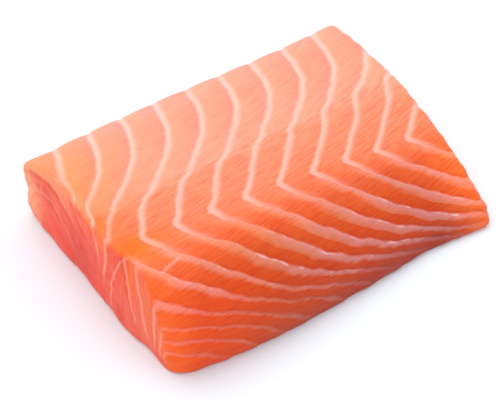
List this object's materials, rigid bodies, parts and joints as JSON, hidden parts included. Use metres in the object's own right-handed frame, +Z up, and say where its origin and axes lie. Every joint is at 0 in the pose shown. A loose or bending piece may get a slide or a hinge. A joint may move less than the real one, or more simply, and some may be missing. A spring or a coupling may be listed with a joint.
{
  "type": "salmon fillet",
  "caption": "Raw salmon fillet block, skinless, thick at one cut and wedge-shaped at the other, with folded fat seams grooved across its top; lies flat on its underside.",
  "frame": {"origin": "centre of the bounding box on the flat underside", "axes": "+X along the fish from the thick cut to the thin cut, +Y from the belly side to the back side, +Z up out of the flat underside"},
  "size_m": [0.1064, 0.0812, 0.027],
  "materials": {
    "flesh": "moist"
  },
  "bodies": {
    "root": {"fillet": "flesh"}
  },
  "joints": []
}
